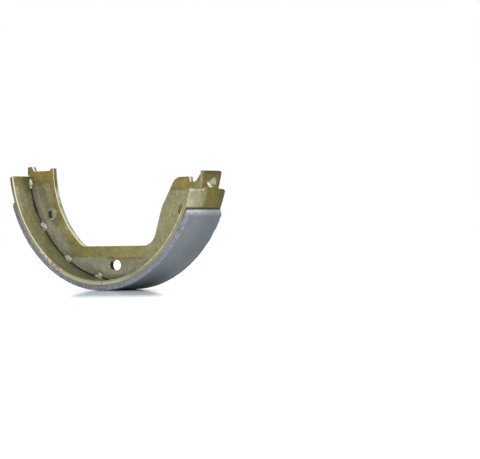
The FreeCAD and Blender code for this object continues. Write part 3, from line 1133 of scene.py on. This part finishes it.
def makeBeadMaterial():
    material, tree, shader, values = newMaterial("weldMetal", 0.5)
    where = values["where"]
    base = paint(
        tree, values, (138, 136, 116),
        ((196, 197, 182), 1, ("patchy", 260, 3.4, 3)),
        ((66, 60, 40), 0.75, ("patchy", 520, 7.0, 3, 0.1), ("angle", -72, 90, 1)),
        ((232, 232, 218), 0.2, ("patchy", 2600, 3.0, 2)),
        ((70, 62, 42), 0.7, ("radius", 76.1, 80, 0.5, 0.8, 500)),
    )
    plug(tree, shader, {
        "Base Color": base,
        "Roughness": total(tree, 0.34, (patches(tree, where, 500, 3.0), 0.2)),
        "Metallic": 0.45,
    })
    addBump(tree, shader, [(patches(tree, where, 1100, 3.0, 3), 0.6, 0.15)])
    return material


finishPiece("weldBeads", makeBeadMesh(), makeBeadMaterial(), "weld_nuggets", 60)
print("welds made")


# Stage, in metres

stage = {
    "floorSize": 12.0,
    "floorTones": {  # plain, and where it mirrors the lining
        "lit": ((244, 246, 249), (234, 241, 249)),
        "glow": ((255, 255, 255), (244, 249, 255)),
        "gloss": ((254, 254, 255), (226, 240, 255)),
        "bounce": ((14, 14, 15), (222, 224, 228)),  # under the shoe, and away from it
    },
    "reflection": 0.87,
    "reflectionReach": (0.11, 0.295),
    "roughness": 0.08,
    "glow": 0.9,
    "glowReach": (0.012, 0.062),
    "castWay": (0.65, -0.76),  # direction of the cool cast in front of the shoe
    "castStart": (0.0, 0.02),
    "castSides": (0.029, 0.011),
    "shadowHalf": (0.042, 0.009),
    "shadowSoft": 0.02,
    "worldStrength": 0.68,
    "lamps": {  # place, target, size, watts
        "sideLamp": ((0.96, -0.46, 0.16), (0, 0, 0.04), (0.6, 0.4), 6.6),
        "frontLamp": ((0.15, -1.0, 0.42), (0, 0, 0.04), (0.8, 0.6), 1.2),
        "topLamp": ((0.05, 0.1, 0.9), (0, 0, 0.03), (0.8, 0.8), 2.5),
    },
    "cameraAzimuth": 40.778,
    "cameraElevation": -0.297,
    "cameraRoll": -0.903,
    "cameraDistance": 1231.6,  # mm
    "pixelsPerMm": 1.6264,
    "axisPixel": (115.44, 155.70),
    "frameSize": (480, 459),
    "sensor": 36,
}


def seenDirectly(tree):
    # 1 for the camera and for what metal and glass show, 0 for the light that falls on the shoe
    path = tree.nodes.new("ShaderNodeLightPath").outputs
    seen = calc(tree, "MAXIMUM", path["Is Camera Ray"], path["Is Glossy Ray"])
    return calc(tree, "MAXIMUM", seen, path["Is Transmission Ray"])


def either(tree, mask, first, second):
    return addNode(tree, "MixShader",
                   {0: mask, 1: first.outputs[0], 2: second.outputs[0]})


def makeFloor():
    bm = bmesh.new()
    bmesh.ops.create_grid(bm, x_segments=1, y_segments=1, size=stage["floorSize"] / 2)
    floor = addObject("floor", bm)
    material = bpy.data.materials.new("paleFloor")
    tree, output = clearTree(material, "ShaderNodeOutputMaterial")
    where = tree.nodes.new("ShaderNodeTexCoord").outputs["Object"]
    x, y = addNode(tree, "SeparateXYZ", {0: where}).outputs[:2]
    away = reach(tree, x, y)
    # polished where the eye meets it at a low angle, less and less away from the shoe
    near, far = stage["reflectionReach"]
    graze = addNode(tree, "LayerWeight", {"Blend": 0.5}).outputs["Facing"]
    polish = times(tree, ramp(tree, away, far, near), calc(tree, "POWER", graze, 3.0),
                   stage["reflection"])
    # the floor in front of the shoe has a painted cool cast where it shows the shoe's shadow and
    # mirrors the lining
    wayX, wayY = stage["castWay"]
    ahead = total(tree, 0.0, (x, wayX), (y, wayY))
    aside = calc(tree, "ABSOLUTE", total(tree, 0.0, (x, -wayY), (y, wayX)))
    cool = times(tree, ramp(tree, ahead, *stage["castStart"]),
                 ramp(tree, aside, *stage["castSides"]))

    def tinted(name, mask):
        first, second = stage["floorTones"][name]
        return over(tree, first, mask, second)

    glowing = times(tree, ramp(tree, away, *stage["glowReach"]), stage["glow"])
    lit = addNode(tree, "BsdfDiffuse", {"Color": tinted("lit", cool)})
    glow = addNode(tree, "Emission",
                   {"Color": tinted("glow", cool), "Strength": glowing})
    shine = addNode(tree, "BsdfGlossy",
                    {"Color": tinted("gloss", cool), "Roughness": stage["roughness"]})
    pale = addNode(tree, "AddShader", {0: lit.outputs[0], 1: glow.outputs[0]})
    shown = either(tree, polish, pale, shine)
    # the light that the floor throws back up: a painted shadow, with none from under the shoe
    past = [minus(tree, calc(tree, "ABSOLUTE", value), half)
            for value, half in zip((x, y), stage["shadowHalf"])]
    clear = ramp(tree, calc(tree, "MAXIMUM", *past), 0.0, stage["shadowSoft"])
    bounce = addNode(tree, "BsdfDiffuse", {"Color": tinted("bounce", clear)})
    surface = either(tree, seenDirectly(tree), bounce, shown)
    tree.links.new(surface.outputs[0], output.inputs["Surface"])
    floor.data.materials.append(material)


def makeWorld():
    world = bpy.data.worlds.new("studio")
    bpy.context.scene.world = world
    tree, output = clearTree(world, "ShaderNodeOutputWorld")
    plain, white = (
        addNode(tree, "Background", {"Color": (1, 1, 1, 1), "Strength": strength})
        for strength in (stage["worldStrength"], 1.0))
    surface = either(tree, seenDirectly(tree), plain, white)
    tree.links.new(surface.outputs[0], output.inputs["Surface"])


def addLamp(name, spot, target, size, power):
    light = bpy.data.lights.new(name, "AREA")
    light.shape = "RECTANGLE"
    light.size, light.size_y = size
    light.energy = power
    lamp = addToScene(name, light)
    lamp.location = spot
    lamp.rotation_euler = (Vector(target) - Vector(spot)).to_track_quat("-Z", "Y").to_euler()


def makeCamera():
    width, height = stage["frameSize"]
    distance = stage["cameraDistance"]
    focal = stage["pixelsPerMm"] * distance
    azimuth, elevation, roll = (
        math.radians(stage[key]) for key in ("cameraAzimuth", "cameraElevation", "cameraRoll"))
    back = Vector((math.sin(azimuth) * math.cos(elevation),
                   -math.cos(azimuth) * math.cos(elevation),
                   math.sin(elevation)))
    level = (-back).cross(Vector((0, 0, 1))).normalized()
    upright = level.cross(-back)
    right = level * math.cos(roll) + upright * math.sin(roll)
    up = upright * math.cos(roll) - level * math.sin(roll)
    aside = (stage["axisPixel"][0] - width / 2) / focal
    above = (height / 2 - stage["axisPixel"][1]) / focal
    camera = bpy.data.cameras.new("camera")
    camera.sensor_width = stage["sensor"]
    camera.lens = stage["sensor"] * focal / width
    camera.clip_start = 0.01
    camera.clip_end = 50
    holder = addToScene("camera", camera)
    spot = axisPoint - (right * aside + up * above - back) * distance * mm
    turned = Matrix((right, up, back)).transposed().to_4x4()
    holder.matrix_world = Matrix.Translation(spot) @ turned
    bpy.context.scene.camera = holder


makeFloor()
makeWorld()
for lampName, lampValues in stage["lamps"].items():
    addLamp(lampName, *lampValues)
makeCamera()
bpy.context.scene.view_settings.view_transform = "Standard"
print("stage made")
